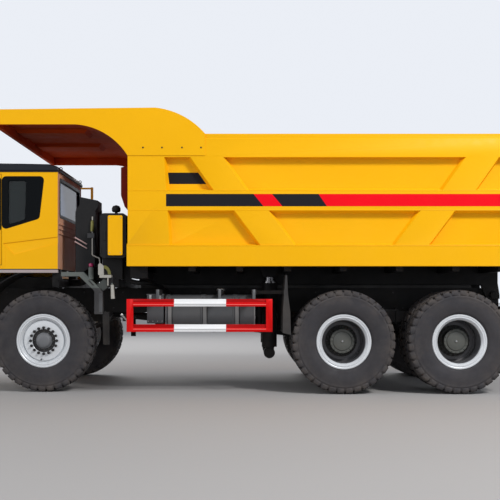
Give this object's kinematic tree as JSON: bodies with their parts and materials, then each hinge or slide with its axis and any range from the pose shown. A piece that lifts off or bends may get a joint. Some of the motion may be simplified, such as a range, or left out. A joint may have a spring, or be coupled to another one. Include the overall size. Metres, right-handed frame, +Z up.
{
  "type": "mining dump truck",
  "caption": "Off-road mining dump truck with an offset cab, a ribbed tipping load body with a canopy over the cab, and twin rear wheels on two axles.",
  "frame": {"origin": "on the ground, below the middle of the truck's length and width", "axes": "+X forwards, +Y to the truck's left, +Z up"},
  "size_m": [9.15, 3.7, 4.0078],
  "materials": {
    "body_yellow": "glossy yellow paint",
    "frame_black": "satin black paint",
    "rim_silver": "silver paint",
    "tyre_rubber": "matt black",
    "guard_red": "glossy red and white paint",
    "roof_charcoal": "dark charcoal",
    "bracket_grey": "grey paint",
    "black_plastic": "matt black",
    "glass_tint": "tinted",
    "seat_fabric": "dark woven fabric",
    "dash_plastic": "grained grey",
    "engine_iron": "cast, dark",
    "spring_steel": "black, rough",
    "hoist_chrome": "polished",
    "steel_bright": "brushed",
    "flap_rubber": "matt black",
    "lamp_glass": "clear",
    "rail_yellow": "yellow paint",
    "tank_black": "satin black paint"
  },
  "bodies": {
    "root": {"chassis_frame": "frame_black", "front_axle": "frame_black", "rear_axle_1": "frame_black", "rear_axle_2": "frame_black", "propshafts": "frame_black", "leaf_springs": "spring_steel", "engine_block": "engine_iron", "cab_shell": "body_yellow", "cab_roof": "roof_charcoal", "cab_glass": "glass_tint", "driver_seat": "seat_fabric", "dashboard": "dash_plastic", "front_bumper": "body_yellow", "front_deck": "body_yellow", "front_panel": "body_yellow", "radiator_grille": "black_plastic", "handrails": "rail_yellow", "access_ladder": "frame_black", "wheel_guards": "bracket_grey", "intake_stack": "black_plastic", "service_cabinet": "black_plastic", "cabinet_cover": "body_yellow", "fuel_tank": "tank_black", "side_box": "bracket_grey", "air_tanks": "tank_black", "exhaust": "steel_bright", "side_guards": "guard_red", "mudflaps": "flap_rubber", "lamps": "lamp_glass", "mirrors": "black_plastic", "cross_members": "frame_black", "frame_brackets": "frame_black", "outriggers": "frame_black", "body_pads": "flap_rubber", "cab_fender": "black_plastic"},
    "steer_left": {"knuckle_left": "frame_black"},
    "steer_right": {"knuckle_right": "frame_black"},
    "tie_rod": {"tie_rod": "frame_black"},
    "cab_door_left": {"cab_door_left": "body_yellow", "door_glass": "glass_tint"},
    "load_body": {"dump_body": "body_yellow", "body_subframe": "frame_black", "canopy": "body_yellow"},
    "hoist_barrels": {"hoist_barrels": "frame_black"},
    "hoist_stage_1": {"hoist_stage_1": "hoist_chrome"},
    "hoist_stage_2": {"hoist_stage_2": "hoist_chrome"},
    "hoist_rods": {"hoist_rods": "hoist_chrome"},
    "front_wheel_left": {"front_rim_left": "rim_silver", "front_tyre_left": "tyre_rubber"},
    "front_wheel_right": {"front_rim_right": "rim_silver", "front_tyre_right": "tyre_rubber"},
    "rear_wheels_1_left": {"rear_rims_1_left": "rim_silver", "rear_tyres_1_left": "tyre_rubber"},
    "rear_wheels_1_right": {"rear_rims_1_right": "rim_silver", "rear_tyres_1_right": "tyre_rubber"},
    "rear_wheels_2_left": {"rear_rims_2_left": "rim_silver", "rear_tyres_2_left": "tyre_rubber"},
    "rear_wheels_2_right": {"rear_rims_2_right": "rim_silver", "rear_tyres_2_right": "tyre_rubber"}
  },
  "joints": [
    {"name": "steer_left", "type": "hinge", "parent": "root", "child": "steer_left", "pos_m": [2.853, 1, 0.735], "axis": [0, 0, 1], "range_deg": [-35, 35]},
    {"name": "front_wheel_left_spin", "type": "hinge", "parent": "steer_left", "child": "front_wheel_left", "pos_m": [2.853, 1.295, 0.735], "axis": [0, 1, 0], "continuous": true},
    {"name": "steer_right", "type": "hinge", "parent": "root", "child": "steer_right", "pos_m": [2.853, -1, 0.735], "axis": [0, 0, 1], "range_deg": [-35, 35]},
    {"name": "front_wheel_right_spin", "type": "hinge", "parent": "steer_right", "child": "front_wheel_right", "pos_m": [2.853, -1.295, 0.735], "axis": [0, 1, 0], "continuous": true},
    {"name": "rear_wheels_1_left_spin", "type": "hinge", "parent": "root", "child": "rear_wheels_1_left", "pos_m": [-1.443, 1.365, 0.735], "axis": [0, 1, 0], "continuous": true},
    {"name": "rear_wheels_1_right_spin", "type": "hinge", "parent": "root", "child": "rear_wheels_1_right", "pos_m": [-1.443, -1.365, 0.735], "axis": [0, 1, 0], "continuous": true},
    {"name": "rear_wheels_2_left_spin", "type": "hinge", "parent": "root", "child": "rear_wheels_2_left", "pos_m": [-3.068, 1.365, 0.735], "axis": [0, 1, 0], "continuous": true},
    {"name": "rear_wheels_2_right_spin", "type": "hinge", "parent": "root", "child": "rear_wheels_2_right", "pos_m": [-3.068, -1.365, 0.735], "axis": [0, 1, 0], "continuous": true},
    {"name": "tie_rod_link", "type": "hinge", "parent": "steer_left", "child": "tie_rod", "pos_m": [2.553, 1, 0.568], "axis": [0, 0, 1], "range_deg": [-35.5, 35.5]},
    {"name": "cab_door_left", "type": "hinge", "parent": "root", "child": "cab_door_left", "pos_m": [4.324, 1.514, 2.1], "axis": [0, 0, -1], "range_deg": [0, 70]},
    {"name": "bed_tilt", "type": "hinge", "parent": "root", "child": "load_body", "pos_m": [-3.88, 0, 1.4], "axis": [0, -1, 0], "range_deg": [0, 45]},
    {"name": "hoist_swing", "type": "hinge", "parent": "root", "child": "hoist_barrels", "pos_m": [-0.42, 0, 0.52], "axis": [0, -1, 0], "range_deg": [0, 19.31]},
    {"name": "hoist_stage_1_slide", "type": "slide", "parent": "hoist_barrels", "child": "hoist_stage_1", "axis": [0, 0, 1], "range_m": [0, 0.8545]},
    {"name": "hoist_stage_2_slide", "type": "slide", "parent": "hoist_stage_1", "child": "hoist_stage_2", "axis": [0, 0, 1], "range_m": [0, 0.8545]},
    {"name": "hoist_rods_slide", "type": "slide", "parent": "hoist_stage_2", "child": "hoist_rods", "axis": [0, 0, 1], "range_m": [0, 0.8545]}
  ],
  "couplings": [
    {"joint": "steer_right", "follows": "steer_left", "ratio": 1},
    {"joint": "tie_rod_link", "follows": "steer_left", "ratio": -1},
    {"joint": "hoist_swing", "follows": "bed_tilt", "ratio": 0.42892},
    {"joint": "hoist_stage_1_slide", "follows": "bed_tilt", "m_per_rad": 1.0873},
    {"joint": "hoist_stage_2_slide", "follows": "bed_tilt", "m_per_rad": 1.0873},
    {"joint": "hoist_rods_slide", "follows": "bed_tilt", "m_per_rad": 1.0873}
  ]
}
